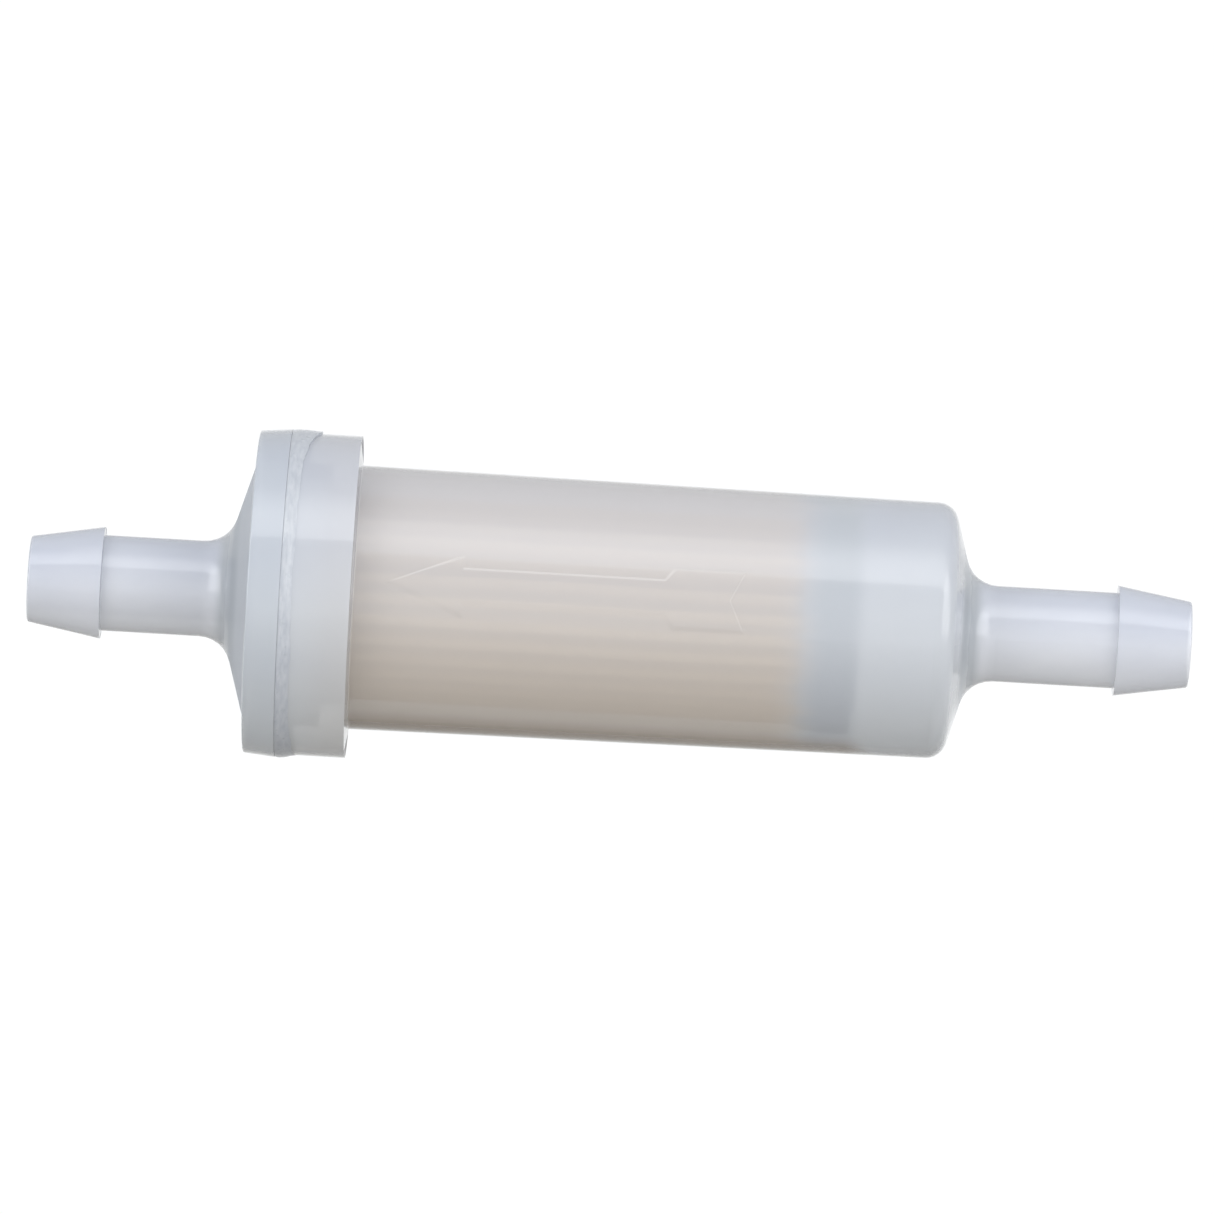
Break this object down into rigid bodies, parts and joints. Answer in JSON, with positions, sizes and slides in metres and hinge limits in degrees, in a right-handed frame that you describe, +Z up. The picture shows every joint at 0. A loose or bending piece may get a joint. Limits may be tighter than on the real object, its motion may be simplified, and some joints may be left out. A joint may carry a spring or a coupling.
{
  "type": "inline fuel filter",
  "caption": "Inline fuel filter for small engines: welded milky plastic bowl and cap with a hose barb at each end, round a pleated paper element.",
  "frame": {"origin": "on the filter's axis, halfway between the end faces of its two nozzles", "axes": "+X along the axis towards the inlet nozzle, so fuel flows towards -X; +Z up; the flow arrow faces -Y, turned 7.6 degrees up"},
  "size_m": [0.1164, 0.0332, 0.0332],
  "materials": {
    "shell": "milky translucent, smooth moulded",
    "weld": "rough re-melted plastic",
    "filter_paper": "matt resin-treated paper",
    "element_plastic": "white moulded",
    "adhesive": "cured, slightly glossy",
    "gasket": "matt natural rubber"
  },
  "bodies": {
    "root": {"housing": "shell", "outlet_cap": "shell", "weld_bead": "weld", "pleated_media": "filter_paper", "media_seam": "adhesive", "core_tube": "element_plastic", "open_end_cap": "element_plastic", "open_end_potting": "adhesive", "closed_end_cap": "element_plastic", "closed_end_potting": "adhesive", "seal_ring": "gasket"}
  },
  "joints": []
}
